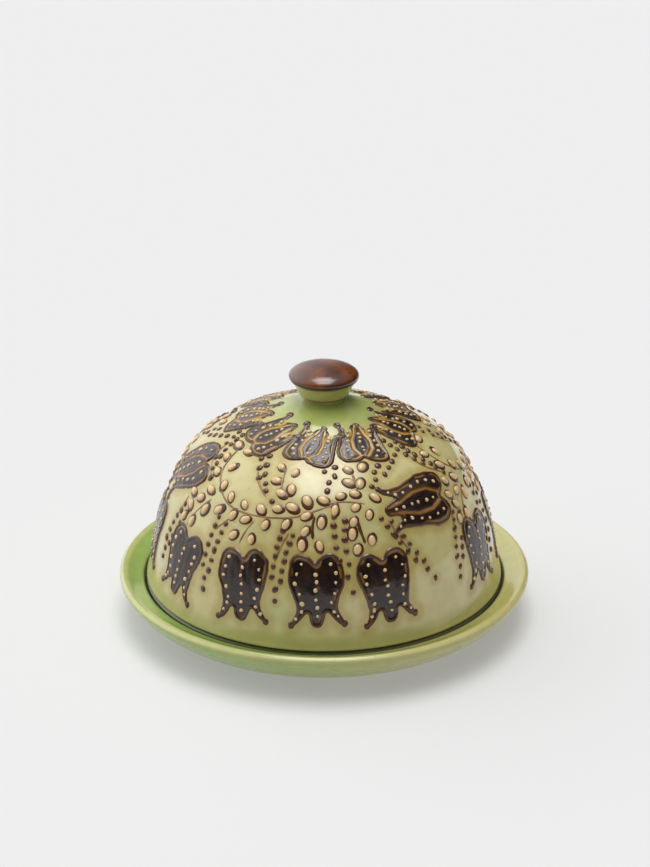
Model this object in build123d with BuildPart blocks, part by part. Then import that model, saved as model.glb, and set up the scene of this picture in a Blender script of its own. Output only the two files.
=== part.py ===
"""Domed butter dish: a thrown dish on a foot ring, a domed lid with a knob, and raised slip decoration.

Millimetres, +Z up. The origin is the centre of the foot ring where the dish stands, and the front is -Y.
A place on the dome is an azimuth in degrees, from the front towards +X, and a rise, the distance up the
dome's outside from its rim.
"""

import os
from math import cos, degrees, radians, sin

from build123d import *

os.makedirs("parts", exist_ok=True)

# Dish
lip_radius = 100.0
lip_height = 22.0
lip_crest = 1.5
foot_radius = 68.0
foot_width = 7.5
foot_recess = 3.6
foot_edge = 0.8
floor_height = 9.5
well_radius = 58.0
seat_height = 19.5
seat_inner = 79.0
seat_outer = 85.2
groove_outer = 88.4
groove_depth = 1.2

# Lid
lid_radius = 86.9
lid_edge_height = 21.3
lid_foot_inner = 80.5
seat_gap = 0.1
wall = 4.6
crown_thickness = 5.4
neck_radius = 10.2
neck_height = 111.4

# Knob
stem_top_radius = 16.4
stem_top_height = 121.5
cap_radius = 16.8
cap_widest_height = 122.7
cap_top_height = 128.0

# Slip decoration
relief = 0.9
prism_reach = 7.0
seed_length = 5.2
seed_width = 3.5
berry_radius = 1.35
pearl_radius = 0.8
embed = 0.25
lower_tulip_size = (27.0, 33.0)
middle_tulip_size = (25.5, 37.0)
upper_tulip_size = (22.0, 23.0)
upper_tulip_taper = 0.3

# A tulip's right half, in half widths and half heights: down its side, and back in along its tips.
tulip_side = [(0.45, 1), (0.9, 0.75), (0.98, 0.35), (0.72, -0.3), (0.78, -0.75), (0.92, -1)]
tulip_tips = [(0.92, -1), (0.62, -0.86), (0.34, -0.52), (0.22, -0.78), (0, -0.9)]
lobe_bulge = 1.08

# Tulips: azimuth, rise, and turn, anticlockwise from standing with its lobes up and its tips down.
lower_tulips = [
    (-56, 26, -8),
    (-28, 27, 5),
    (-2.5, 28.5, 3),
    (21, 28, 5),
    (66, 28, -6),
    (93, 27, 4),
    (118, 28, 0),
    (142, 27.5, -4),
    (184, 27, 5),
    (211, 28, -3),
    (237, 27, 4),
    (275, 26.5, 0),
]
middle_tulips = [(41, 62.5, -92), (161, 63, -85), (-77, 65, -50)]
upper_tulips = [
    (-46, 102.5, 150),
    (-8, 101, 162),
    (28.5, 100.5, 165),
    (69, 101, 203),
    (108, 101.5, 195),
    (148, 101, 186),
    (188, 101, 175),
    (229, 101, 165),
    (272, 102, 150),
]

# A third of the wreath, trailed three times round. Each group is a branch of seeds: azimuth, rise,
# and the lean of the seed's long axis, anticlockwise from level.
seed_branches = [
    [(-59, 89, -25), (-49, 88.5, 20), (-58, 81, -30), (-49.5, 78, 80), (-55.5, 72.5, -35), (-47, 68.5, -75)],
    [(-60, 65.5, -50), (-52.5, 64, -30), (-40.5, 64.5, -65), (-33, 63, -55), (-25.5, 63, -35)],
    [(-19, 64.5, -15), (-13, 66, -10), (-7, 69.5, -50), (-7, 62.5, 30), (0, 70, -30)],
    [(-23, 85.5, -25), (-14.5, 84, 55), (-23, 78, -5), (-14.5, 74.5, -75), (-19, 72, -10)],
    [(-14.5, 58, 65), (-22.5, 56.5, 65), (-31, 57, 35), (-37, 57, 55), (-44.5, 57, 60), (-51, 55, 65)],
    [(-56, 58.5, 30), (-62, 59, -20), (-60, 53, -60), (-34.5, 48.5, 40), (-27, 48.5, 80), (-56, 46, 80)],
    [(-7, 55.5, 60), (-8, 49, 85), (-1, 59.5, 85), (-1.5, 49, -80), (-61.5, 46.5, 70)],
    [(13, 85.5, -40), (21, 86, 45), (12, 78.5, -15), (17, 77, 70), (7, 72, -10), (13.5, 72.5, -20)],
    [(22, 69.5, -50), (4.5, 65.5, 60), (13, 66, 30), (11.5, 59.5, 65), (18, 62, 70), (24, 63, 80)],
    [(10.5, 54, 80), (12, 47, 60), (17.5, 50, 85)],
]

# Berry trails in the same third: three places along each trail's stem, and its number of rows.
berry_trails = [
    ((-37, 92), (-33, 78), (-22, 67.5), 6),
    ((-41, 53), (-43.5, 38), (-43, 19), 8),
    ((-13.5, 54), (-16.5, 41), (-16, 22), 8),
    ((6, 61), (4.5, 50), (9.5, 27), 7),
    ((24.5, 58), (30, 45), (39.5, 26), 8),
    ((58, 50), (53.5, 38), (51, 21), 8),
    ((46, 92.5), (31, 84), (22, 75), 7),
    ((49.5, 96), (52.5, 83), (63, 68.5), 8),
    ((3, 89), (3, 81), (1.5, 74.5), 4),
]
row_half_width = 2.5
row_taper = 0.5
single_rows = 2

# The dome's outside, from the rim up to the neck.
dome_outside = [
    (lid_radius, lid_edge_height),
    (84.2, 31),
    (80.9, 48),
    (73.6, 68),
    (62, 86),
    (45.5, 97),
    (28.5, 104.3),
    (neck_radius, neck_height),
]
dome_profile = Spline(*[(radius, 0, height) for radius, height in dome_outside], mode=Mode.PRIVATE)


def dome_plane(azimuth, rise, turn=0.0, lift=0.0):
    """The plane that touches the dome at a place, lifted off it, with its x axis level before the turn."""
    point = dome_profile.position_at(rise, position_mode=PositionMode.LENGTH)
    slope = dome_profile.tangent_at(rise, position_mode=PositionMode.LENGTH)
    side, front = sin(radians(azimuth)), -cos(radians(azimuth))
    east = Vector(-front, side, 0)
    up = Vector(slope.X * side, slope.X * front, slope.Z)
    normal = east.cross(up)
    origin = Vector(point.X * side, point.X * front, point.Z) + normal * lift
    x_dir = east * cos(radians(turn)) + up * sin(radians(turn))
    return Plane(origin=origin, x_dir=x_dir, z_dir=normal)


def row_places(start, middle, end, rows):
    """The places of a trail's berries: pairs across a curved stem, then single ones at its end."""
    places = []
    for row in range(rows):
        t = row / (rows - 1)
        azimuth = (1 - t) ** 2 * start[0] + 2 * t * (1 - t) * middle[0] + t**2 * end[0]
        rise = (1 - t) ** 2 * start[1] + 2 * t * (1 - t) * middle[1] + t**2 * end[1]
        radius = dome_profile.position_at(rise, position_mode=PositionMode.LENGTH).X
        half_width = row_half_width - row_taper * t
        sideways = degrees(half_width / radius) if row < rows - single_rows else 0
        places += [(azimuth - sideways, rise + sideways / 2), (azimuth + sideways, rise - sideways / 2)]
    pairs = 2 * (rows - single_rows)
    return places[:pairs] + places[pairs::2]


# The dish: a wide lip, a groove round the lid's seat, a well, and a foot ring turned underneath.
with BuildPart() as dish:
    with BuildSketch(Plane.XZ):
        with BuildLine():
            crest = (lip_radius - 1.5, lip_height + lip_crest)
            foot_top = (foot_radius + 0.6, 2.8)
            foot_inside = foot_radius - foot_width
            floor_edge = (well_radius, floor_height)
            belly = [(98.8, 18), (95.2, 14), (91.1, 10), (85.4, 6.4), (77, 3.8)]
            Spline(crest, (lip_radius, lip_height), *belly, foot_top)
            Polyline(foot_top, (foot_radius, foot_edge), (foot_radius - foot_edge, 0))
            Line((foot_radius - foot_edge, 0), (foot_inside + foot_edge, 0))
            Polyline((foot_inside + foot_edge, 0), (foot_inside, foot_edge), (foot_inside - 2, foot_recess))
            Polyline((foot_inside - 2, foot_recess), (0, foot_recess + 0.6), (0, floor_height), floor_edge)
            Spline(floor_edge, (66, 10.7), (73, 14.2), (seat_inner, seat_height))
            Line((seat_inner, seat_height), (seat_outer, seat_height))
            groove_bottom = ((seat_outer + groove_outer) / 2, seat_height - groove_depth)
            groove_edge = (groove_outer, seat_height + 0.25)
            ThreePointArc((seat_outer, seat_height), groove_bottom, groove_edge)
            Spline(groove_edge, (93, 21.4), (96.8, 23.1), crest)
        make_face()
    revolve(axis=Axis.Z)
dish.part.label = "dish"
export_step(dish.part, "parts/dish.step")

# The lid's shell: its foot stands on the dish's seat, and the wall is even from the foot to the crown.
lid_foot_height = seat_height + seat_gap
with BuildPart() as lid_dome:
    with BuildSketch(Plane.XZ):
        with BuildLine():
            crown_inside = (0, neck_height - crown_thickness)
            inner_wall = [dome_plane(90, rise, lift=-wall).origin for rise in (118, 100, 80, 60, 38, 16)]
            inner_foot = (lid_foot_inner, lid_foot_height + 1)
            foot_outside = (lid_radius - 2.1, lid_foot_height)
            Spline(*dome_outside)
            Polyline(dome_outside[-1], (0, neck_height), crown_inside)
            Spline(crown_inside, *[(place.X, place.Z) for place in inner_wall], inner_foot)
            Polyline(inner_foot, (lid_foot_inner + 0.8, lid_foot_height), foot_outside)
            ThreePointArc(foot_outside, (lid_radius - 0.6, lid_foot_height + 0.5), dome_outside[0])
        make_face()
    revolve(axis=Axis.Z)
lid_dome.part.label = "lid_dome"
export_step(lid_dome.part, "parts/lid_dome.step")

# The knob: a stem that flares up from the crown, and the flattened button that closes it.
stem_edge = (stem_top_radius, stem_top_height)
with BuildPart() as knob_stem:
    with BuildSketch(Plane.XZ):
        with BuildLine():
            Spline((neck_radius, neck_height), (12, 114), (13.8, 118), stem_edge)
            Polyline(stem_edge, (0, stem_top_height), (0, neck_height), (neck_radius, neck_height))
        make_face()
    revolve(axis=Axis.Z)
knob_stem.part.label = "knob_stem"
export_step(knob_stem.part, "parts/knob_stem.step")

with BuildPart() as knob_cap:
    with BuildSketch(Plane.XZ):
        with BuildLine():
            cap_side = (cap_radius, cap_widest_height)
            cap_top = (0, cap_top_height)
            cap_shoulder = (cap_radius, cap_widest_height + 0.55 * (cap_top_height - cap_widest_height))
            Bezier(cap_side, cap_shoulder, (0.55 * cap_radius, cap_top_height), cap_top)
            ThreePointArc(stem_edge, (cap_radius - 0.1, stem_top_height + 0.5), cap_side)
            Polyline(cap_top, (0, stem_top_height), stem_edge)
        make_face()
    revolve(axis=Axis.Z)
knob_cap.part.label = "knob_cap"
export_step(knob_cap.part, "parts/knob_cap.step")

# A skin of slip all over the dome. Each tulip is the piece of it inside the tulip's outline.
with BuildPart() as slip_skin:
    with BuildSketch(Plane.XZ):
        with BuildLine():
            skin_top = [dome_plane(90, rise, lift=relief).origin for rise in range(2, 127, 8)]
            under = Spline(*dome_outside)
            over = Spline(*[(place.X, place.Z) for place in skin_top])
            Line(under @ 0, over @ 0)
            Line(under @ 1, over @ 1)
        make_face()
    revolve(axis=Axis.Z)


def make_tulip(place, size, taper=0.0):
    """A hanging tulip: two round lobes above, two flared tips and a short middle tip below."""

    def sized(points):
        return [(x * size[0] / 2 * (1 + taper * y), y * size[1] / 2) for x, y in points]

    with BuildPart() as tulip:
        with BuildSketch(dome_plane(*place)):
            with BuildLine():
                Spline((0, size[1] * 0.4), *sized(tulip_side))
                Spline(*sized(tulip_tips))
                mirror(about=Plane.YZ)
            make_face()
        extrude(amount=prism_reach, both=True)
        add(slip_skin.part, mode=Mode.INTERSECT)
    return tulip.part


def pearl_places(place, size):
    """Three columns of pearls down a tulip, standing on its surface."""
    azimuth, rise, turn = place
    spots = []
    for column in (-1, 0, 1):
        for step in range(5):
            across = column * size[0] * 0.27
            along = size[1] * (0.3 - 0.14 * step) - abs(column) * 0.02 * size[1]
            east = across * cos(radians(turn)) - along * sin(radians(turn))
            up = across * sin(radians(turn)) + along * cos(radians(turn))
            radius = dome_profile.position_at(rise + up, position_mode=PositionMode.LENGTH).X
            spots.append(dome_plane(azimuth + degrees(east / radius), rise + up, lift=relief - embed))
    return spots


def over_tulip(origin, place, size, taper, gap):
    """Whether a point is nearer than the gap to a tulip, from the tulip's half width at its height."""
    local = dome_plane(*place).to_local_coords(origin)
    height = local.Y / (size[1] / 2)
    if local.length > size[1] or abs(height) > lobe_bulge + gap / (size[1] / 2):
        return False
    (x_high, y_high), (x_low, y_low) = next(
        (pair for pair in zip(tulip_side, tulip_side[1:]) if pair[1][1] <= height), tulip_side[-2:]
    )
    share = min(max((height - y_low) / (y_high - y_low), 0), 1)
    half_width = lobe_bulge * (x_low + share * (x_high - x_low)) * size[0] / 2 * (1 + taper * height)
    return abs(local.X) < half_width + gap


def clear_places(wanted, taken, gap):
    """The wanted places that keep a gap from every tulip and from the middles of the places taken."""
    kept = []
    for place in wanted:
        over = any(over_tulip(place.origin, *tulip, gap) for tulip in tulips)
        near = any((other.origin - place.origin).length < 2 * gap for other in taken)
        if not over and not near:
            kept.append(place)
    return kept


# A seed is half an egg on its flat side.
with BuildPart() as seed:
    with BuildSketch():
        with BuildLine():
            half_length = seed_length / 2
            shoulder = (-0.12 * seed_length, seed_width / 2)
            Spline((-half_length, 0), shoulder, (half_length, 0), tangents=[(0, 1), (0.4, -1)])
            Line((half_length, 0), (-half_length, 0))
        make_face()
    revolve(axis=Axis.X, revolution_arc=180)

tulips = []
for kind, group, size, taper in (
    ("lower", lower_tulips, lower_tulip_size, 0.0),
    ("middle", middle_tulips, middle_tulip_size, 0.0),
    ("upper", upper_tulips, upper_tulip_size, upper_tulip_taper),
):
    for number, place in enumerate(group, 1):
        piece = make_tulip(place, size, taper)
        piece.label = f"tulip_{kind}_{number}"
        export_step(piece, f"parts/{piece.label}.step")
        tulips.append((place, size, taper))

    with BuildPart() as pearls:
        spots = [spot for place in group for spot in pearl_places(place, size)]
        with Locations(*spots):
            Sphere(pearl_radius, arc_size1=0)
    pearls.part.label = f"pearls_{kind}"
    export_step(pearls.part, f"parts/{pearls.part.label}.step")

# The wreath's seeds and berries go where no tulip is, and the berries where no seed is.
thirds = {"front": 0, "right": 120, "left": 240}
seed_spots = {}
for third, turned in thirds.items():
    wanted = []
    for azimuth, rise, lean in (place for branch in seed_branches for place in branch):
        wanted.append(dome_plane(azimuth + turned, rise, lean, lift=-embed))
    seed_spots[third] = clear_places(wanted, [], seed_width / 2 + 0.3)
    with BuildPart() as seeds:
        with Locations(*seed_spots[third]):
            add(seed.part)
    seeds.part.label = f"seeds_{third}"
    export_step(seeds.part, f"parts/{seeds.part.label}.step")

all_seeds = [spot for spots in seed_spots.values() for spot in spots]
for third, turned in thirds.items():
    wanted = []
    for azimuth, rise in (place for trail in berry_trails for place in row_places(*trail)):
        wanted.append(dome_plane(azimuth + turned, rise, lift=-embed))
    with BuildPart() as berries:
        with Locations(*clear_places(wanted, all_seeds, berry_radius + 0.4)):
            Sphere(berry_radius, arc_size1=0)
    berries.part.label = f"berries_{third}"
    export_step(berries.part, f"parts/{berries.part.label}.step")
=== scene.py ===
"""Domed butter dish in a pale studio: green and cream glazed stoneware with raised brown and cream slip."""

import math
import random

import bpy
import numpy as np
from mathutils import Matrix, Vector, kdtree


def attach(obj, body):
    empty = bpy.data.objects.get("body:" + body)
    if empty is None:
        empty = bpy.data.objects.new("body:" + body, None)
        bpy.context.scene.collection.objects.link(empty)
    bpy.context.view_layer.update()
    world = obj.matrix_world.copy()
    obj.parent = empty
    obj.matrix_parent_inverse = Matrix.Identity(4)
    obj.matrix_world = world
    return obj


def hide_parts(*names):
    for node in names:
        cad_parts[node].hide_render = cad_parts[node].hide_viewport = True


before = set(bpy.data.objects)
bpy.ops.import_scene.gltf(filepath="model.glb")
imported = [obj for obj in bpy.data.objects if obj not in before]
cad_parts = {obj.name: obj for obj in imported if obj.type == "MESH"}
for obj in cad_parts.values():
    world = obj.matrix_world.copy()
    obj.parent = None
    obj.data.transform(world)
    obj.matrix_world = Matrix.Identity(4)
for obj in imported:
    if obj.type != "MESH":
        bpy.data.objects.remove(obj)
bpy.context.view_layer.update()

# Shapes are in millimetres until add_mesh makes them metres. Only the camera is placed in metres.
MM = 0.001
TURN = 6.283  # radians in a full turn, to the accuracy that ripples need

# ---------------------------------------------------------------- small helpers


def smooth_line(points, count):
    """A natural cubic curve through the points, as count places evenly spaced along it."""
    # t is the distance along the points, and bend the curve's second derivative at each of them.
    points = np.array(points, float)
    t = np.r_[0, np.cumsum(np.linalg.norm(np.diff(points, axis=0), axis=1))]
    h = np.diff(t)
    n = len(points)
    system = np.eye(n)
    right = np.zeros_like(points)
    for i in range(1, n - 1):
        system[i, i - 1 : i + 2] = h[i - 1], 2 * (h[i - 1] + h[i]), h[i]
        right[i] = 6 * ((points[i + 1] - points[i]) / h[i] - (points[i] - points[i - 1]) / h[i - 1])
    bend = np.linalg.solve(system, right)
    s = np.linspace(0, t[-1], max(400, 4 * count))
    k = np.clip(np.searchsorted(t, s, side="right") - 1, 0, n - 2)
    a = ((t[k + 1] - s) / h[k])[:, None]
    b = ((s - t[k]) / h[k])[:, None]
    width = (h[k] ** 2 / 6)[:, None]
    line = a * points[k] + b * points[k + 1] + ((a**3 - a) * bend[k] + (b**3 - b) * bend[k + 1]) * width
    along = np.r_[0, np.cumsum(np.linalg.norm(np.diff(line, axis=0), axis=1))]
    even = np.linspace(0, along[-1], count)
    return np.stack([np.interp(even, along, line[:, i]) for i in range(line.shape[1])], axis=1)


def ripples(points, length, seed, waves=8):
    """Smooth uneven values, mostly from -1 to 1, that change over about that length."""
    rng = np.random.default_rng(seed)
    total = np.zeros(len(points))
    for _ in range(waves):
        way = rng.normal(size=points.shape[1])
        way /= np.linalg.norm(way)
        total += np.sin(points @ way * TURN / (length * rng.uniform(0.7, 1.6)) + rng.uniform(0, TURN))
    return total / math.sqrt(2 * waves)


def smoothstep(low, high, value):
    """0 at low and beyond, 1 at high and beyond, and a smooth rise between; low may be the larger."""
    t = np.clip((value - low) / (high - low), 0, 1)
    return t * t * (3 - 2 * t)


def bump_at(gap, width):
    """1 where the gap is zero, fading smoothly to nothing within about two widths."""
    return np.exp(-((gap / width) ** 2))


def srgb(*channels):
    """Linear colour from 0-255 screen values."""
    c = np.array(channels, float) / 255
    return np.where(c > 0.04045, ((c + 0.055) / 1.055) ** 2.4, c / 12.92)


def blend(first, second, share):
    """Colours from first to second, by a share from 0 to 1 at each point."""
    share = np.asarray(share)[..., None]
    return first * (1 - share) + second * share


def add_mesh(name, points, faces, colours=None):
    """A smooth-shaded mesh from millimetre points, with a colour at each point."""
    mesh = bpy.data.meshes.new(name)
    mesh.from_pydata((np.asarray(points) * MM).tolist(), [], faces)
    mesh.polygons.foreach_set("use_smooth", [True] * len(mesh.polygons))
    if colours is not None:
        layer = mesh.color_attributes.new("Slip", "FLOAT_COLOR", "POINT")
        layer.data.foreach_set("color", np.c_[colours, np.ones(len(colours))].astype(np.float32).ravel())
    mesh.update()
    obj = bpy.data.objects.new(name, mesh)
    bpy.context.scene.collection.objects.link(obj)
    return obj


def turned(outline, steps, wobble=None):
    """Points and faces of an outline of (radius, height) turned about Z; radius 0 makes a pole.

    wobble takes the points and returns them with the unevenness of hand throwing.
    """
    angles = np.linspace(0, 2 * math.pi, steps, endpoint=False)
    points, rings, faces = [], [], []
    for radius, height in outline:
        first = len(points)
        if radius < 1e-6:
            points.append((0, 0, height))
            rings.append([first] * steps)
        else:
            points += [(radius * math.sin(a), -radius * math.cos(a), height) for a in angles]
            rings.append(list(range(first, first + steps)))
    for lower, upper in zip(rings, rings[1:]):
        for i in range(steps):
            j = (i + 1) % steps
            corners = [lower[i], lower[j], upper[j], upper[i]]
            face = list(dict.fromkeys(corners))
            if len(face) > 2:
                faces.append(face)
    points = np.array(points, float)
    if wobble is not None:
        points = wobble(points)
    return points, faces


# ---------------------------------------------------------------- the dome's surface

# The outside as (radius, height), from the rim to the knob. At each place along it are the distance up
# from the rim, which is called its rise, the direction there, and the angle seen from polar_height on the
# axis, which is the first guess when a point's place is looked up.
dome_outside = [
    (86.9, 21.3), (84.2, 31), (80.9, 48), (73.6, 68), (62, 86), (45.5, 97), (28.5, 104.3), (10.2, 111.4),
]  # fmt: skip
polar_height = 20
dome_line = smooth_line(dome_outside, 1400)
dome_along = np.r_[0, np.cumsum(np.linalg.norm(np.diff(dome_line, axis=0), axis=1))]
dome_way = np.gradient(dome_line, axis=0)
dome_way /= np.linalg.norm(dome_way, axis=1)[:, None]
dome_polar = np.arctan2(dome_line[:, 1] - polar_height, dome_line[:, 0])


def on_dome(azimuth, rise, lift=0.0):
    """Points of the dome's outside at azimuths in degrees and rises in mm, lifted off it by lift."""
    a = np.radians(azimuth)
    r, z = (np.interp(rise, dome_along, dome_line[:, i]) for i in (0, 1))
    wr, wz = (np.interp(rise, dome_along, dome_way[:, i]) for i in (0, 1))
    r, z = r + lift * wz, z - lift * wr
    return np.stack([r * np.sin(a), -r * np.cos(a), z], axis=-1)


def where_on_dome(points):
    """The azimuth in degrees and rise in mm of the dome's nearest place to each point."""
    flat = np.hypot(points[:, 0], points[:, 1])
    rise = np.interp(np.arctan2(points[:, 2] - polar_height, flat), dome_polar, dome_along)
    for _ in range(3):  # each pass slides along the outline to where the point is square to it
        r, z, wr, wz = (np.interp(rise, dome_along, v) for v in (*dome_line.T, *dome_way.T))
        rise = np.clip(rise + (flat - r) * wr + (points[:, 2] - z) * wz, 0, dome_along[-1])
    return np.degrees(np.arctan2(points[:, 0], -points[:, 1])), rise


def tangent_frame(azimuth, rise, turn=0.0):
    """A place on the dome, with sideways and upwards along it, turned anticlockwise by turn degrees."""
    a, t = math.radians(azimuth), math.radians(turn)
    wr, wz = (np.interp(rise, dome_along, dome_way[:, i]) for i in (0, 1))
    east = np.array([math.cos(a), math.sin(a), 0])
    up = np.array([wr * math.sin(a), -wr * math.cos(a), wz])
    side = east * math.cos(t) + up * math.sin(t)
    over = up * math.cos(t) - east * math.sin(t)
    return on_dome(azimuth, rise), side, over


def draped(azimuth, rise, turn, flat, lift):
    """Flat points (sideways, upwards) laid on the dome round a place, each lifted off it by lift."""
    origin, side, over = tangent_frame(azimuth, rise, turn)
    az, up = where_on_dome(origin + flat[:, :1] * side + flat[:, 1:] * over)
    return on_dome(az, up, lift)


# ---------------------------------------------------------------- materials


def glaze(name, rough, grain, coat, bump, specks=0.0):
    """A glazed surface in the mesh's Slip colours, mottled, with uneven gloss and a fine skin.

    rough is its usual roughness, grain how strong the mottling is, coat and bump the weights of the
    clear layer and the skin, and specks the strength of iron specks. Texture scales are per metre.
    """
    material = bpy.data.materials.new(name)
    material.use_nodes = True
    nodes, links = material.node_tree.nodes, material.node_tree.links
    shader = nodes["Principled BSDF"]
    place = nodes.new("ShaderNodeTexCoord")

    def noise(scale, detail):
        node = nodes.new("ShaderNodeTexNoise")
        node.inputs["Scale"].default_value = scale
        node.inputs["Detail"].default_value = detail
        links.new(place.outputs["Object"], node.inputs["Vector"])
        return node.outputs["Fac"]

    def mapped(value, low, high, to_low, to_high):
        node = nodes.new("ShaderNodeMapRange")
        for socket, number in zip(("From Min", "From Max", "To Min", "To Max"), (low, high, to_low, to_high)):
            node.inputs[socket].default_value = number
        links.new(value, node.inputs["Value"])
        return node.outputs["Result"]

    def mixed(share, first, other, mode="MIX"):
        node = nodes.new("ShaderNodeMix")
        node.data_type = "RGBA"
        node.blend_type = mode
        for socket, value in ((0, share), (6, first), (7, other)):  # a colour mix's factor, A and B
            if isinstance(value, bpy.types.NodeSocket):
                links.new(value, node.inputs[socket])
            elif socket == 0:
                node.inputs[socket].default_value = value
            else:
                node.inputs[socket].default_value = (*value, 1)
        return node.outputs[2]

    source = nodes.new("ShaderNodeAttribute")
    source.attribute_name = "Slip"
    shade = mapped(noise(160, 5.0), 0.3, 0.7, 1 - grain, 1 + grain * 0.6)
    tone = nodes.new("ShaderNodeCombineColor")
    for socket in ("Red", "Green", "Blue"):
        links.new(shade, tone.inputs[socket])
    base = mixed(1.0, source.outputs["Color"], tone.outputs["Color"], "MULTIPLY")
    if specks:
        cells = nodes.new("ShaderNodeTexVoronoi")
        cells.inputs["Scale"].default_value = 210
        links.new(place.outputs["Object"], cells.inputs["Vector"])
        near = mapped(cells.outputs["Distance"], 0.04, 0.11, 1, 0)
        chosen = mapped(noise(330, 1.0), 0.54, 0.6, 0, specks)
        spot = nodes.new("ShaderNodeMath")
        spot.operation = "MULTIPLY"
        links.new(near, spot.inputs[0])
        links.new(chosen, spot.inputs[1])
        base = mixed(spot.outputs[0], base, srgb(120, 88, 40))
    links.new(base, shader.inputs["Base Color"])
    links.new(mapped(noise(90, 4.0), 0.3, 0.7, rough * 0.75, rough * 1.35), shader.inputs["Roughness"])
    skin = nodes.new("ShaderNodeBump")
    skin.inputs["Strength"].default_value = bump
    skin.inputs["Distance"].default_value = 0.4 * MM
    links.new(noise(420, 4.0), skin.inputs["Height"])
    links.new(skin.outputs["Normal"], shader.inputs["Normal"])
    shader.inputs["Coat Weight"].default_value = coat
    shader.inputs["Coat Roughness"].default_value = 0.05
    shader.inputs["IOR"].default_value = 1.5
    return material


dome_glaze = glaze("dome_glaze", rough=0.2, grain=0.07, coat=0.7, bump=0.1, specks=0.55)
dish_glaze = glaze("dish_glaze", rough=0.2, grain=0.06, coat=0.6, bump=0.1, specks=0.35)
stem_glaze = glaze("stem_glaze", rough=0.18, grain=0.1, coat=0.7, bump=0.12)
knob_slip = glaze("knob_slip", rough=0.18, grain=0.28, coat=0.6, bump=0.12)
tulip_slip = glaze("tulip_slip", rough=0.19, grain=0.3, coat=0.3, bump=0.3)
seed_slip = glaze("seed_slip", rough=0.22, grain=0.1, coat=0.6, bump=0.2)
berry_slip = glaze("berry_slip", rough=0.2, grain=0.3, coat=0.3, bump=0.25)
pearl_slip = glaze("pearl_slip", rough=0.25, grain=0.12, coat=0.5, bump=0.2)

# The slips, and the colours they take at their edges.
black = srgb(23, 18, 18)
brown = srgb(76, 43, 20)
amber = srgb(168, 116, 36)
cream = srgb(228, 197, 143)
tan = srgb(162, 108, 64)
dark = srgb(84, 44, 18)

# ---------------------------------------------------------------- tulips

# One side of a tulip in half widths and half heights, from the notch round a lobe to the middle tip.
hanging_half = [
    (0.0, 0.74), (0.14, 0.93), (0.38, 1.04), (0.66, 1.03), (0.88, 0.86), (0.98, 0.58), (0.98, 0.28),
    (0.87, -0.05), (0.77, -0.35), (0.74, -0.6), (0.83, -0.82), (0.99, -1.02), (0.84, -1.03), (0.64, -0.94),
    (0.49, -0.77), (0.39, -0.66), (0.29, -0.68), (0.26, -0.85), (0.18, -1.02), (0.0, -1.06),
]  # fmt: skip
spread_half = [
    (0.0, 0.8), (0.14, 0.94), (0.4, 1.03), (0.68, 1.0), (0.9, 0.8), (0.99, 0.5), (0.98, 0.2), (0.94, -0.1),
    (0.9, -0.4), (0.9, -0.7), (1.0, -1.02), (0.82, -1.02), (0.62, -0.84), (0.46, -0.72), (0.34, -0.82),
    (0.2, -1.02), (0.0, -1.05),
]  # fmt: skip
# The blobs of slip at its three tips, in half widths and half heights, with their radius in mm.
tulip_blobs = [(-0.93, -0.99, 1.45), (0.93, -0.99, 1.45), (0.0, -0.97, 1.3)]
# Its three columns of cream dots, from the top down, in half widths and half heights.
pearl_columns = [
    [(-0.5, 0.78), (-0.66, 0.5), (-0.68, 0.2), (-0.6, -0.1), (-0.53, -0.4), (-0.56, -0.66), (-0.72, -0.85)],
    [(0.0, 0.5), (0.0, 0.24), (0.0, -0.02), (0.0, -0.28), (0.0, -0.54), (0.0, -0.8)],
    [(0.5, 0.78), (0.66, 0.5), (0.68, 0.2), (0.6, -0.1), (0.53, -0.4), (0.56, -0.66), (0.72, -0.85)],
]

# Azimuth, rise and turn of each tulip, and each kind's width, height and how much wider its lobes are.
lower_tulips = [
    (-56, 26, -8), (-28, 27, 5), (-2.5, 28.5, 3), (21, 28, 5), (66, 28, -6), (93, 27, 4),
    (118, 28, 0), (142, 27.5, -4), (184, 27, 5), (211, 28, -3), (237, 27, 4), (275, 26.5, 0),
]  # fmt: skip
middle_tulips = [(41, 62.5, -92), (161, 63, -85), (-77, 65, -50)]
upper_tulips = [
    (-46, 102.5, 150), (-8, 101, 162), (28.5, 100.5, 165), (69, 101, 203), (108, 101.5, 195),
    (148, 101, 186), (188, 101, 175), (229, 101, 165), (272, 102, 150),
]  # fmt: skip
kinds = {
    "lower": (lower_tulips, (27, 33), 0.0),
    "middle": (middle_tulips, (27.5, 37), 0.06),
    "upper": (upper_tulips, (23.5, 24), 0.17),
}


def inside_depth(points, outline):
    """How far each flat point is inside a closed outline in mm; below zero outside it."""
    a, b = outline, np.roll(outline, -1, axis=0)
    side = b - a
    away = points[:, None] - a[None]
    t = np.clip((away * side).sum(2) / np.maximum((side * side).sum(1), 1e-9), 0, 1)
    depth = np.sqrt(((away - t[..., None] * side) ** 2).sum(2)).min(1)
    rising = (a[:, 1] > points[:, None, 1]) != (b[:, 1] > points[:, None, 1])
    slope = np.where(np.abs(side[:, 1]) < 1e-9, 1e-9, side[:, 1])
    crossing = a[:, 0] + side[:, 0] * (points[:, None, 1] - a[:, 1]) / slope
    inside = (rising & (points[:, None, 0] < crossing)).sum(1) % 2 == 1
    return np.where(inside, depth, -depth)


def line_gap(points, line):
    """How far each flat point is from an open line in mm."""
    a, b = line[:-1], line[1:]
    away = points[:, None] - a[None]
    side = b - a
    t = np.clip((away * side).sum(2) / (side * side).sum(1), 0, 1)
    return np.sqrt(((away - t[..., None] * side) ** 2).sum(2)).min(1)


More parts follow.
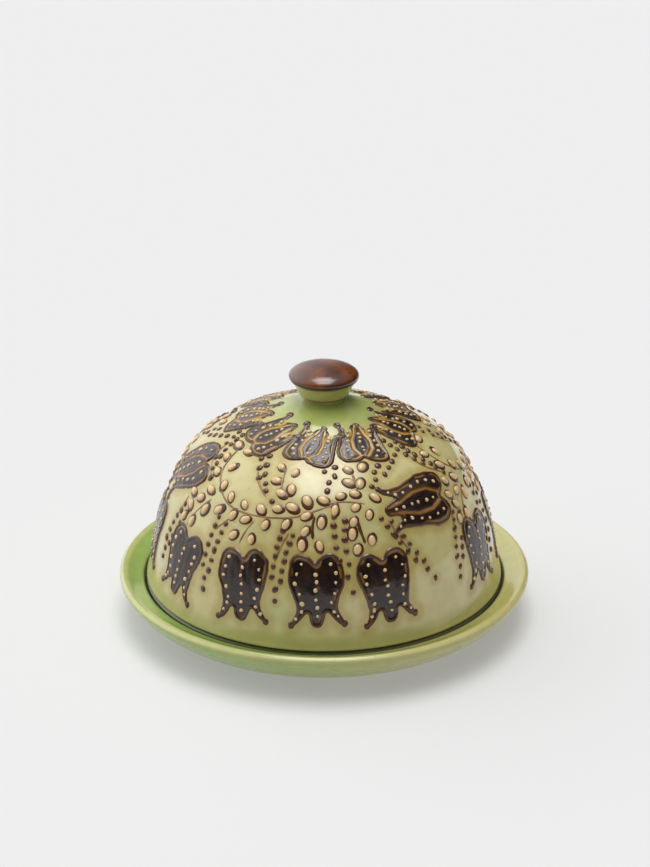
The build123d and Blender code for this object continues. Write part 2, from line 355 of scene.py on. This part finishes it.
def tulip_outline(half, size, taper, seed):
    """The closed outline in mm, each tulip's a little different; taper widens the lobes."""
    half = np.array(half)
    whole = np.r_[half, (half * (-1, 1))[::-1][1:-1]]
    for _ in range(2):  # cut the corners twice, which rounds them
        ahead = np.roll(whole, -1, axis=0)
        whole = np.stack([0.75 * whole + 0.25 * ahead, 0.25 * whole + 0.75 * ahead], 1).reshape(-1, 2)
    sized = np.c_[whole[:, 0] * size[0] / 2 * (1 + taper * whole[:, 1]), whole[:, 1] * size[1] / 2]
    sized[:, 0] += 0.5 * ripples(sized, 14, seed)
    sized[:, 1] += 0.5 * ripples(sized, 12, seed + 1)
    return sized


def tulip_shape(place, size, taper, kind, seed):
    """One tulip's points, faces and colours: a brown ridge round it, dark slip inside, amber between."""
    step = 0.42  # mm between the mesh's points
    skirt = 0.75  # mm past the outline that the mesh runs on, down into the glaze
    half_size = np.array(size) / 2
    outline = tulip_outline(spread_half if kind == "upper" else hanging_half, size, taper, seed)
    low, high = outline.min(0) - 2, outline.max(0) + 2
    xs, ys = (np.arange(low[i], high[i], step) for i in (0, 1))
    flat = np.stack(np.meshgrid(xs, ys), -1).reshape(-1, 2)
    depth = inside_depth(flat, outline)
    for x, y, radius in tulip_blobs:
        centre = np.array((x * (1 + taper * y), y)) * half_size
        reach = radius * (1.5 if kind == "upper" else 1.1)
        depth = np.maximum(depth, reach - np.linalg.norm(flat - centre, axis=1))
    depth = depth + 0.18 * ripples(flat, 4.5, seed + 2)

    ridge = bump_at(depth - 0.85, 0.6)
    uneven = ripples(flat, 9, seed + 3)
    streaks = ripples(flat * (1, 0.25), 3.0, seed + 4)
    unit = flat / half_size
    # The gap between ridge and dark slip, where the glaze pools amber in places.
    gap_mark = bump_at(depth - 1.9 - 0.3 * uneven, 0.36)
    gap_mark *= smoothstep(0.0, 0.7, uneven + 0.5 * unit[:, 1] + (0.35 if kind != "lower" else -0.05))
    seam = np.zeros(len(flat))
    seam_ridge = np.zeros(len(flat))
    if kind == "lower":
        notch = np.array([(0.0, 0.8), (0.05, 0.62), (0.02, 0.35), (0.08, 0.1)]) * half_size
        seam_ridge = bump_at(line_gap(flat, notch), 0.8)
    else:
        for way in (-1, 1):
            petal = np.array([(0.14, -0.95), (0.2, -0.55), (0.38, -0.1), (0.36, 0.35), (0.12, 0.72)])
            petal = petal * (way, 1) * half_size
            petal[:, 0] *= 1 + taper * petal[:, 1] / half_size[1]
            gap = line_gap(flat, petal) + 0.15 * uneven
            seam = np.maximum(seam, bump_at(gap, 0.62))
            seam_ridge = np.maximum(seam_ridge, bump_at(gap - 1.0, 0.55))
    window = np.zeros(len(flat))  # the bare glaze that shows between the wreath's petals
    if kind == "upper":
        for way in (-1, 1):
            oval = (unit - (way * 0.42, -0.62)) / (0.13, 0.3)
            window = np.maximum(window, smoothstep(1.25, 0.7, np.linalg.norm(oval, axis=1)))

    colours = np.tile(black, (len(flat), 1))
    colours = blend(colours, brown * 0.8, 0.25 + 0.25 * np.clip(streaks, -1, 1))
    colours = blend(colours, brown, np.clip(seam_ridge, 0, 1) * 0.8)
    pooled = np.maximum(gap_mark, seam)
    colours = blend(colours, srgb(204, 156, 58) if kind == "upper" else amber, np.clip(pooled, 0, 1))
    ridge_brown = brown * (1 + 0.35 * np.clip(uneven, -1, 1))[:, None]
    colours = blend(colours, ridge_brown, np.clip(ridge * 1.25, 0, 1))
    colours = blend(colours, srgb(190, 160, 78), window)
    colours = blend(colours, srgb(150, 112, 44), smoothstep(0.3, -0.15, depth))

    # Heights in mm: a layer of slip with the ridge on it, lower where the glaze pools or shows.
    lift = 0.36 * smoothstep(-0.3, 0.9, depth) + 0.36 * ridge - 0.3 * pooled
    lift += 0.12 * smoothstep(1.5, 4.5, depth) + 0.06 * streaks * smoothstep(1.5, 3, depth)
    lift += 0.15 * seam_ridge - 0.3 * window
    lift = np.where(depth < 0, lift + depth * 1.1, lift)

    across, down = len(xs), len(ys)
    keep = depth > -skirt
    grid = np.arange(across * down).reshape(down, across)
    quads = np.stack([grid[:-1, :-1], grid[:-1, 1:], grid[1:, 1:], grid[1:, :-1]], -1).reshape(-1, 4)
    quads = quads[keep[quads].all(1)]
    used, renamed = np.unique(quads, return_inverse=True)
    points = draped(*place, flat[used], lift[used])
    return points, renamed.reshape(-1, 4), colours[used]


def join_shapes(shapes):
    """Several shapes' points, faces and colours as one shape's."""
    points, faces, colours, first = [], [], [], 0
    for p, f, c in shapes:
        points.append(p)
        colours.append(c)
        faces += [[first + int(i) for i in face] for face in f]
        first += len(p)
    return np.concatenate(points), faces, np.concatenate(colours)


def bead(place, length, width, height, colour, edge, rings, steps, uneven, seed, base=0.0):
    """A low rounded drop at an (azimuth, rise, turn), its long axis sideways, its colour going to edge.

    base lifts it off the dome, and its foot runs 0.25 mm down into what it lies on.
    """
    rng = np.random.default_rng(seed)
    bulge = 1 + uneven * rng.normal(size=3)
    angles = np.linspace(0, 2 * math.pi, steps, endpoint=False)
    flat, lift, tone = [(0, 0)], [height], [0.0]
    for ring in range(1, rings + 1):
        t = ring / rings
        wave = bulge[0] + (bulge[1] - 1) * np.cos(angles) + (bulge[2] - 1) * np.sin(2 * angles)
        reach = math.sin(t * math.pi / 2)
        xs = length / 2 * reach * wave * np.cos(angles)
        ys = width / 2 * reach * wave * np.sin(angles)
        flat += list(zip(xs, ys))
        lift += [height * math.cos(t * math.pi / 2)] * steps
        tone += [t**3] * steps
    flat += [(x * 1.02, y * 1.02) for x, y in flat[-steps:]]
    lift += [-0.25] * steps
    tone += [1.0] * steps
    faces = [[0, 1 + i, 1 + (i + 1) % steps] for i in range(steps)]
    for ring in range(rings):
        a = 1 + ring * steps  # the first point of this ring, and b of the next one out
        b = a + steps
        faces += [[a + i, b + i, b + (i + 1) % steps, a + (i + 1) % steps] for i in range(steps)]
    points = draped(*place, np.array(flat), np.array(lift) + base)
    return points, faces, blend(np.tile(colour, (len(points), 1)), edge, np.array(tone))


def show(name, shapes, material, replaced):
    """One piece on the lid, made of the shapes, which replaces the CAD nodes named."""
    piece = add_mesh(name, *join_shapes(shapes))
    piece.data.materials.append(material)
    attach(piece, "lid")
    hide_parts(*replaced)


pearl_edge = blend(cream, brown, 0.45)
slip_marks = []  # where dark slip lies, for the stain it leaves in the glaze round it
for first_seed, (kind, (places, size, taper)) in zip((0, 100, 200), kinds.items()):
    tulips, pearls = [], []
    for number, place in enumerate(places):
        seed = first_seed + number
        shape = tulip_shape(place, size, taper, kind, seed)
        tulips.append(shape)
        slip_marks.append(shape[0][::9])
        rng = random.Random(seed)
        for column in pearl_columns:
            for x, y in column if kind != "upper" else column[:-1]:
                spread = 1 if kind == "lower" else 0.92
                flat = np.array([[
                    x * spread * size[0] / 2 * (1 + taper * y) + rng.uniform(-0.5, 0.5),
                    y * 0.92 * size[1] / 2 + rng.uniform(-0.6, 0.6),
                ]])
                az, rise = where_on_dome(draped(*place, flat, 0.0))
                wide = rng.uniform(1.3, 2.0)
                spot = (float(az[0]), float(rise[0]), rng.uniform(0, 180))
                own_seed = rng.randrange(9999)
                pearls.append(
                    bead(spot, wide * 1.1, wide, 0.6, cream, pearl_edge, 3, 9, 0.08, own_seed, base=0.45)
                )
    nodes = [f"tulip_{kind}_{n + 1}" for n in range(len(places))]
    show(f"tulips_{kind}_slip", tulips, tulip_slip, nodes)
    show(f"pearls_{kind}_slip", pearls, pearl_slip, [f"pearls_{kind}"])

# ---------------------------------------------------------------- seeds and berries


def drops_of(node):
    """The points of every separate drop in a CAD node.

    Points at one place share a label, and the labels of joined points settle on the lowest among them.
    """
    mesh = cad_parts[node].data
    points = np.array([v.co for v in mesh.vertices]) / MM
    edges = np.empty(2 * len(mesh.edges), int)
    mesh.edges.foreach_get("vertices", edges)
    merged = np.unique(np.round(points, 3), axis=0, return_inverse=True)[1].reshape(-1)
    one, other = merged[edges].reshape(-1, 2).T
    label = np.arange(merged.max() + 1)
    while True:
        low = label.copy()
        np.minimum.at(low, one, label[other])
        np.minimum.at(low, other, label[one])
        low = low[low]
        if (low == label).all():
            break
        label = low
    owner = label[merged]
    return [points[owner == i] for i in np.unique(owner)]


def seed_place(points):
    """Azimuth, rise and lean of a seed from its CAD points."""
    middle = (points.min(0) + points.max(0)) / 2
    az, rise = (float(v[0]) for v in where_on_dome(middle[None]))
    _, side, over = tangent_frame(az, rise)
    flat = np.c_[(points - middle) @ side, (points - middle) @ over]
    long_way = np.linalg.svd(flat - flat.mean(0), full_matrices=False)[2][0]
    return az, rise, math.degrees(math.atan2(long_way[1], long_way[0]))


# Seeds and berry trails that lie right against the tulips, in one third of the wreath. A seed is its
# azimuth, rise and lean; a trail is three places along it and its number of rows.
close_seeds = [
    (-49, 88.5, 20), (-60, 65.5, -50), (-62, 59, -20), (-56, 46, 80), (22, 69.5, -50), (24, 63, 80),
]  # fmt: skip
trails = [
    ((-37, 92), (-33, 78), (-22, 67.5), 6),
    ((-41, 53), (-43.5, 38), (-43, 19), 8),
    ((-13.5, 54), (-16.5, 41), (-16, 22), 8),
    ((6, 61), (4.5, 50), (9.5, 27), 7),
    ((24.5, 58), (30, 45), (39.5, 26), 8),
    ((58, 50), (53.5, 38), (51, 21), 8),
    ((46, 92.5), (31, 84), (22, 75), 7),
    ((49.5, 96), (52.5, 83), (63, 68.5), 8),
    ((3, 89), (3, 81), (1.5, 74.5), 4),
]


def trail_places(start, middle, end, rows):
    """Pairs of berries across a curved stem, then one in each of the last two rows."""
    places = []
    for row in range(rows):
        t = row / (rows - 1)
        az, rise = ((1 - t) ** 2 * start[i] + 2 * t * (1 - t) * middle[i] + t**2 * end[i] for i in (0, 1))
        apart = 2.4 - 0.5 * t  # mm from the stem to each berry of a pair
        aside = math.degrees(apart / np.interp(rise, dome_along, dome_line[:, 0]))
        pair = [(az - aside, rise + aside / 2), (az + aside, rise - aside / 2)]
        places += pair if row < rows - 2 else [(az, rise)]
    return places


def mark_at(azimuth, rise):
    """One place on the dome, as a list of one point."""
    return on_dome(np.array([azimuth]), np.array([rise]))


def room_for(place, taken, space):
    """Whether a place on the dome is more than space away from everything in taken."""
    return np.linalg.norm(np.concatenate(taken) - mark_at(*place), axis=1).min() > space


# The least mm between a drop that is put back and the middles of the others, or a tulip's points.
seed_to_seed, seed_to_tulip = 3.4, 1.0
berry_to_berry, berry_to_seed, berry_to_tulip = 2.6, 2.7, 0.9
tulip_marks = list(slip_marks)
for third, offset in (("front", 0), ("right", 120), ("left", 240)):
    found = [seed_place(points) for points in drops_of(f"seeds_{third}")]
    seed_marks = [mark_at(az, rise) for az, rise, _ in found]
    for az, rise, lean in close_seeds:
        place = (az + offset, rise)
        if room_for(place, seed_marks, seed_to_seed) and room_for(place, tulip_marks, seed_to_tulip):
            found.append((*place, lean))
            seed_marks.append(mark_at(*place))
    seeds, blots, berries = [], [], []
    for number, (az, rise, lean) in enumerate(found):
        rng = random.Random(f"{third}{number}")
        length, width = rng.uniform(4.7, 5.5), rng.uniform(3.3, 3.8)
        seeds.append(bead((az, rise, lean), length, width, 1.05, cream, tan, 6, 18, 0.05, number, 0.12))
        aside = np.array([[rng.uniform(0.2, 0.7), rng.uniform(-0.5, -0.1)]])
        blot_az, blot_rise = (float(v[0]) for v in where_on_dome(draped(az, rise, lean, aside, 0.0)))
        blot = (blot_az, blot_rise, lean)
        blots.append(bead(blot, length + 1.6, width + 1.5, 0.4, dark, dark, 4, 16, 0.1, number))
    middles = [points.mean(0)[None] for points in drops_of(f"berries_{third}")]
    spots = [tuple(float(v[0]) for v in where_on_dome(middle)) for middle in middles]
    berry_marks = [mark_at(az, rise) for az, rise in spots]
    for trail in trails:
        for az, rise in trail_places(*trail):
            place = (az + offset, rise)
            clear = room_for(place, berry_marks, berry_to_berry)
            clear = clear and room_for(place, seed_marks, berry_to_seed)
            if clear and room_for(place, tulip_marks, berry_to_tulip):
                spots.append(place)
                berry_marks.append(mark_at(*place))
    for number, (az, rise) in enumerate(spots):
        rng = random.Random(f"{third}berry{number}")
        wide = rng.uniform(2.4, 3.1)
        spot = (az, rise, rng.uniform(0, 180))
        berries.append(bead(spot, wide * 1.08, wide, 0.75, dark, tan * 0.45, 4, 12, 0.08, number))
    slip_marks += seed_marks + berry_marks
    show(f"seeds_{third}_slip", seeds, seed_slip, [f"seeds_{third}"])
    show(f"seed_blots_{third}", blots, berry_slip, [])
    show(f"berries_{third}_slip", berries, berry_slip, [f"berries_{third}"])

# ---------------------------------------------------------------- stems

# Lines of thin slip in one third, as (azimuth, rise) places, with their width in mm.
thin_stems = [
    (
        [
            (-57, 90), (-55.5, 80), (-53, 73), (-46, 65), (-40, 61), (-31, 59.5), (-20, 60), (-10, 62),
            (-2, 65.5), (5, 68),
        ],  # fmt: skip
        1.1,
    ),
    ([(0, 68), (8, 69), (17, 67)], 1.0),
    ([(-27, 57.5), (-30, 51), (-31.4, 45.3)], 1.0),
    ([(-20.5, 86), (-20, 80), (-19, 70)], 1.0),
    ([(14.5, 83), (15, 78), (15, 74)], 1.0),
    ([(-50, 60), (-56, 50), (-58, 43)], 1.0),
    ([(-35, 81), (-30, 74), (-25, 69)], 1.0),
    ([(-38, 55), (-41, 51), (-43, 48)], 0.9),
    ([(-13, 54), (-15.5, 47), (-17, 40)], 0.9),
    ([(25, 58), (28, 50), (31, 42)], 0.9),
    ([(56, 55), (55, 50), (54, 45)], 0.9),
    ([(52, 87), (53, 80), (57, 74), (63, 69)], 1.0),
]
dark_stems = [
    ([(-3.6, 62.5), (-4.3, 57.5), (-4, 51.8)], 1.3),
    ([(13, 60), (13.5, 56), (15, 49)], 1.3),
]


def stem_shape(line, width, height, colour, seed):
    """A low ribbon of slip along a line on the dome, thinner at its ends."""
    steps = 60
    offsets = (-1.15, -0.8, -0.3, 0.3, 0.8, 1.15)  # across it, in half widths
    line = smooth_line(line, steps)
    reach = np.interp(line[:, 1], dome_along, dome_line[:, 0])
    way = np.gradient(line * np.c_[np.radians(reach), np.ones(steps)], axis=0)
    way /= np.linalg.norm(way, axis=1)[:, None]
    t = np.linspace(0, 1, steps)
    ends = np.minimum(1, 8 * np.minimum(t, 1 - t) + 0.15)
    wide = width / 2 * (1 + 0.25 * ripples(line, 6, seed)) * ends
    points = []
    for across in offsets:
        az = line[:, 0] - np.degrees(across * wide * way[:, 1] / reach)
        rise = line[:, 1] + across * wide * way[:, 0]
        points.append(on_dome(az, rise, height * (1.05 - across**2)))
    points = np.stack(points, 1).reshape(-1, 3)
    row = len(offsets)
    corners = [row * i + j for i in range(steps - 1) for j in range(row - 1)]
    faces = [[a, a + 1, a + row + 1, a + row] for a in corners]
    tone = 1 + 0.2 * ripples(points, 8, seed)
    return points, faces, np.tile(colour, (len(points), 1)) * tone[:, None]


stems = []
stem_sorts = ((thin_stems, 0.3, srgb(150, 112, 62), 0), (dark_stems, 0.4, srgb(88, 60, 22), 50))
for step, offset in enumerate((0, 120, 240)):
    for lines, height, colour, first_seed in stem_sorts:
        for number, (line, width) in enumerate(lines):
            moved = [(az + offset, rise) for az, rise in line]
            stems.append(stem_shape(moved, width, height, colour, first_seed + 10 * step + number))
show("stems_slip", stems, berry_slip, [])

# ---------------------------------------------------------------- the lid's shell

wall = 4.6  # mm thick
crown_height = 111.4  # where the outside meets the knob's stem
inner_wall = [on_dome(90, rise, -wall)[[0, 2]] for rise in (16, 38, 60, 80, 100, 118)]
rim_line = [(86.9, 21.3), (86.75, 20.7), (86.3, 20.15), (85.6, 19.75), (84.8, 19.6)]
foot_line = [(81.3, 19.6), (80.7, 19.9), (80.5, 20.6)]
inside_line = smooth_line([(80.5, 20.6), *inner_wall], 60)
shell = [
    (0, 106.0),
    *inside_line[::-1],
    *foot_line[::-1][1:],
    *rim_line[::-1],
    *dome_line[np.linspace(0, len(dome_line) - 1, 190).astype(int)][1:],
    (0, crown_height),
]


def thrown_dome(points):
    """The slight unevenness of a hand-thrown shell, none at its foot or crown."""
    out = points / np.maximum(np.linalg.norm(points - (0, 0, 30), axis=1), 1e-6)[:, None]
    amount = 0.16 * ripples(points, 60, 5) + 0.05 * ripples(points, 18, 6)
    share = amount * smoothstep(26, 45, points[:, 2]) * smoothstep(112, 104, points[:, 2])
    return points + out * share[:, None]


points, faces = turned(shell, 376, thrown_dome)
az, rise = where_on_dome(points)
marks = kdtree.KDTree(sum(len(m) for m in slip_marks))
for i, mark in enumerate(np.concatenate(slip_marks)):
    marks.insert(mark, i)
marks.balance()
near = np.array([marks.find(p)[2] for p in points.tolist()])
mottle = ripples(points, 55, 11)
small = ripples(points, 16, 12)
flat = np.hypot(points[:, 0], points[:, 1])
# Cream glaze with greener and paler patches, stained by the slip; a green collar; then a greener band low
# on the dome, partly pooled glaze and partly a painted reflection of the green dish; and painted shade on
# the lid's lowest edge, where it sits in the dish.
colours = np.tile(srgb(206, 196, 136), (len(points), 1))
colours = blend(colours, srgb(188, 190, 118), smoothstep(0.0, 1.3, mottle))
colours = blend(colours, srgb(214, 200, 150), smoothstep(0.2, 1.2, small) * 0.5)
colours = blend(colours, srgb(180, 156, 72), smoothstep(5.0, 1.2, near) * 0.65)
collar = smoothstep(33 + 3 * small, 20, flat) * smoothstep(95, 102, points[:, 2])
colours = blend(colours, srgb(168, 180, 96), collar)
# Greener low on the dome: partly pooled glaze, partly a painted reflection of the green dish below it.
colours = blend(colours, srgb(170, 170, 90), smoothstep(8, 4.5, rise) * 0.5)
# Painted shade: the lid's lowest edge is darkened to stand in for the shadow line where it meets the dish.
edge = smoothstep(21.5, 20.6, points[:, 2]) * smoothstep(82, 84, flat)
colours = blend(colours, srgb(40, 30, 16), edge)
dome = add_mesh("lid_shell", points, faces, colours)
dome.data.materials.append(dome_glaze)
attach(dome, "lid")
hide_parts("lid_dome")

# ---------------------------------------------------------------- the knob

# The stem is glazed green with a brown ring at its foot and brown slip run down from the button.
stem_line = smooth_line([(10.2, 111.2), (10.6, 112.4), (12, 114), (13.8, 118), (16.3, 121.2)], 36)
points, faces = turned([(0, 111.0), (10.2, 111.0), *stem_line, (0, 121.4)], 128)
small = ripples(points, 9, 21)
colours = np.tile(srgb(168, 168, 92), (len(points), 1))
colours = blend(colours, srgb(186, 180, 108), smoothstep(-0.6, 0.8, small))
ring = bump_at(points[:, 2] - 113.2 - 0.4 * small, 0.8)
colours = blend(colours, srgb(120, 92, 42), ring * 0.75)
colours = blend(colours, srgb(96, 66, 30), smoothstep(119.8, 121.0, points[:, 2] + 0.4 * small))
neck = add_mesh("knob_neck", points, faces, colours)
neck.data.materials.append(stem_glaze)
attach(neck, "lid")
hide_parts("knob_stem")

# The button's top is a quarter of an ellipse, from its widest place up to its middle.
cap_radius, cap_widest_height, cap_top_height = 16.8, 122.7, 128.0
cap_rise = 5.3
arc = [
    (cap_radius * math.cos(t), cap_widest_height + cap_rise * math.sin(t))
    for t in np.linspace(0, math.pi / 2, 48)
]
cap_line = [(0, 121.0), (16.0, 121.0), (16.4, 121.3), (16.7, 121.9), *arc[:-1], (0, cap_top_height)]
points, faces = turned(cap_line, 160)
slow, small = ripples(points, 15, 31), ripples(points * (1, 1, 3), 4, 32)
colours = np.tile(srgb(80, 34, 8), (len(points), 1))
colours = blend(colours, srgb(126, 64, 12), smoothstep(-0.8, 0.9, slow))
colours = blend(colours, srgb(66, 34, 12), smoothstep(0.1, 1.2, small) * 0.6)
# Painted shade: the button is darker under its widest place, where it faces down towards the stem.
colours = blend(colours, srgb(52, 26, 15), smoothstep(123.6, 121.8, points[:, 2]))
cap = add_mesh("knob_button", points, faces, colours)
cap.data.materials.append(knob_slip)
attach(cap, "lid")
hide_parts("knob_cap")

# ---------------------------------------------------------------- the dish

# From the middle of the underside out over the foot ring, up the outside, over the lip, down into the
# groove, across the lid's seat and down the well to its middle.
well_height = 9.5
outside = [
    (68.6, 2.8), (77, 3.8), (85.4, 6.4), (91.1, 10), (95.2, 14), (98.8, 18), (100, 22), (98.5, 23.5),
]  # fmt: skip
outside_line = smooth_line(outside, 90)
lip_line = smooth_line([(98.5, 23.5), (96.8, 23.1), (93, 21.4), (88.4, 19.75)], 40)
well_line = smooth_line([(79, 19.5), (73, 14.2), (66, 10.7), (58, well_height)], 40)
foot = [(0, 4.2), (58.5, 3.6), (60.5, 0.8), (60.9, 0.25), (61.3, 0), (67.2, 0), (67.7, 0.25), (68, 0.8)]
floor_line = [(radius, well_height) for radius in np.linspace(56, 2, 28)]
groove = smooth_line([(88.4, 19.75), (87.6, 18.7), (86.8, 18.3), (86.0, 18.6), (85.2, 19.5)], 9)
seat_edge = (81, 19.5)
dish_line = [
    *foot, *outside_line, *lip_line[1:-1], *groove, seat_edge, *well_line, *floor_line, (0, well_height),
]  # fmt: skip


def thrown_dish(points):
    """Faint throwing rings and an uneven lip, none at the foot or the lid's seat."""
    flat = np.hypot(points[:, 0], points[:, 1])
    share = smoothstep(89, 95, flat)[:, None]
    ring = 0.07 * np.sin(points[:, 2] * 2.6) * smoothstep(90, 92, flat)
    out = points * (1, 1, 0) / np.maximum(flat, 1e-6)[:, None]
    amount = 0.25 * ripples(points * (1, 1, 0), 110, 41) + ring
    dips = np.c_[np.zeros((len(points), 2)), 0.2 * ripples(points, 120, 42)]
    return points + share * (out * amount[:, None] + dips)


points, faces = turned(dish_line, 400, thrown_dish)
flat = np.hypot(points[:, 0], points[:, 1])
slow, small = ripples(points, 80, 51), ripples(points * (0.2, 0.2, 3), 12, 52)
# The green glaze turns to yellow towards +X. It is pale where it runs thin over the lip, streaked on the
# underside and left off the foot ring; the groove round the lid is darkened as painted shade.
leaning = smoothstep(-60, 90, points[:, 0] + 15 * slow)
inside_colour = blend(np.tile(srgb(150, 174, 92), (len(points), 1)), srgb(190, 184, 108), leaning)
outside_colour = blend(np.tile(srgb(148, 172, 86), (len(points), 1)), srgb(196, 188, 120), leaning)
underside = smoothstep(21.5, 19, points[:, 2]) * smoothstep(66, 70, flat)
colours = blend(inside_colour, outside_colour, underside)
thin_lip = bump_at(points[:, 2] - 22.6, 1.2) * smoothstep(95, 97.5, flat)
colours = blend(colours, srgb(206, 196, 136), thin_lip * 0.7)
colours = blend(colours, srgb(186, 182, 120), smoothstep(0, 1.2, small) * underside * 0.5)
colours = blend(colours, srgb(206, 188, 160), smoothstep(1.6, 0.4, points[:, 2]))
# Painted shade: the groove under the lid's rim is darkened to stand in for the shadow in the gap.
groove_shade = bump_at(flat - 87.2, 1.5) * smoothstep(20.5, 19.5, points[:, 2])
colours = blend(colours, srgb(30, 22, 12), groove_shade * 0.95)
dish = add_mesh("dish_body", points, faces, colours)
dish.data.materials.append(dish_glaze)
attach(dish, "dish")
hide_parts("dish")

# ---------------------------------------------------------------- studio

floor_half = 6000
corners = [(x * floor_half, y * floor_half, 0) for x, y in ((-1, -1), (1, -1), (1, 1), (-1, 1))]
floor = add_mesh("studio_floor", corners, [[0, 1, 2, 3]])
paper = bpy.data.materials.new("studio_paper")
paper.use_nodes = True
# Matt paper with a faint glow of its own, which keeps the shadows on it soft and close to the dish.
paper_values = {
    "Base Color": (0.5, 0.5, 0.5, 1),
    "Emission Color": (1, 1, 1, 1),
    "Emission Strength": 0.27,
    "Roughness": 1.0,
    "Specular IOR Level": 0.0,
}
for socket, value in paper_values.items():
    paper.node_tree.nodes["Principled BSDF"].inputs[socket].default_value = value
floor.data.materials.append(paper)


def studio_light():
    """A dim room with a big light overhead, a small one behind that, and a pale wall behind at the left.

    The camera itself sees a flat backdrop as pale as the floor in place of all of it.
    """
    world = bpy.data.worlds.new("studio")
    world.use_nodes = True
    nodes, links = world.node_tree.nodes, world.node_tree.links
    background = nodes["Background"]
    way = nodes.new("ShaderNodeTexCoord").outputs["Generated"]

    def along(direction):
        node = nodes.new("ShaderNodeVectorMath")
        node.operation = "DOT_PRODUCT"
        node.inputs[1].default_value = Vector(direction).normalized()
        links.new(way, node.inputs[0])
        return node.outputs["Value"]

    def math_node(operation, first, second):
        node = nodes.new("ShaderNodeMath")
        node.operation = operation
        for socket, value in zip(node.inputs, (first, second)):
            if isinstance(value, bpy.types.NodeSocket):
                links.new(value, socket)
            else:
                socket.default_value = value
        return node.outputs[0]

    def faded(value, low, high, to_low, to_high):
        node = nodes.new("ShaderNodeMapRange")
        node.interpolation_type = "SMOOTHSTEP"
        for socket, number in zip(("From Min", "From Max", "To Min", "To Max"), (low, high, to_low, to_high)):
            node.inputs[socket].default_value = number
        links.new(value, node.inputs["Value"])
        return node.outputs["Result"]

    def box_light(azimuth, elevation, half_wide, half_tall, soft, strength):
        """A soft-edged oblong of light; azimuth from the front towards +X, all in degrees."""
        a, e = math.radians(azimuth), math.radians(elevation)
        forward = (math.sin(a) * math.cos(e), -math.cos(a) * math.cos(e), math.sin(e))
        side = (math.cos(a), math.sin(a), 0)
        over = Vector(forward).cross(Vector(side))
        blur = math.sin(math.radians(soft))
        light = strength
        for direction, half in ((side, half_wide), (over, half_tall)):
            edge = math.sin(math.radians(half))
            off_axis = math_node("ABSOLUTE", along(direction), 0)
            light = math_node("MULTIPLY", faded(off_axis, edge, edge + blur, 1, 0), light)
        return math_node("MULTIPLY", light, faded(along(forward), 0.0, 0.1, 0, 1))

    height = along((0, 0, 1))
    room = faded(height, 0.4, 0.98, 0.05, 0.7)
    wall_light = faded(along((-0.87, 0.5, 0)), 0.2, 0.95, 0, 1.5)
    back = math_node("MULTIPLY", wall_light, faded(height, -0.2, 0.5, 0.6, 1))
    light = math_node("ADD", room, back)
    light = math_node("ADD", light, box_light(180, 89, 8, 14, 12, 4.8))
    light = math_node("ADD", light, box_light(180, 66, 6, 5, 3, 3.0))
    links.new(light, background.inputs["Strength"])
    backdrop = nodes.new("ShaderNodeBackground")
    backdrop.inputs["Color"].default_value = (1, 1, 1, 1)
    backdrop.inputs["Strength"].default_value = 0.855
    seen = nodes.new("ShaderNodeMixShader")
    links.new(nodes.new("ShaderNodeLightPath").outputs["Is Camera Ray"], seen.inputs["Fac"])
    links.new(background.outputs[0], seen.inputs[1])
    links.new(backdrop.outputs[0], seen.inputs[2])
    links.new(seen.outputs[0], nodes["World Output"].inputs["Surface"])
    background.inputs["Color"].default_value = (1, 1, 1, 1)
    bpy.context.scene.world = world


studio_light()
bpy.context.scene.view_settings.view_transform = "Standard"

# The photo's view: from in front and above, in metres, with no shift and no depth of field.
camera = bpy.data.objects.new("camera", bpy.data.cameras.new("camera"))
camera.location = (0.0005, -1.0752, 0.5548)
camera.rotation_euler = (math.radians(66.73), 0, 0)
camera.data.lens = 101.3
bpy.context.scene.collection.objects.link(camera)
bpy.context.scene.camera = camera
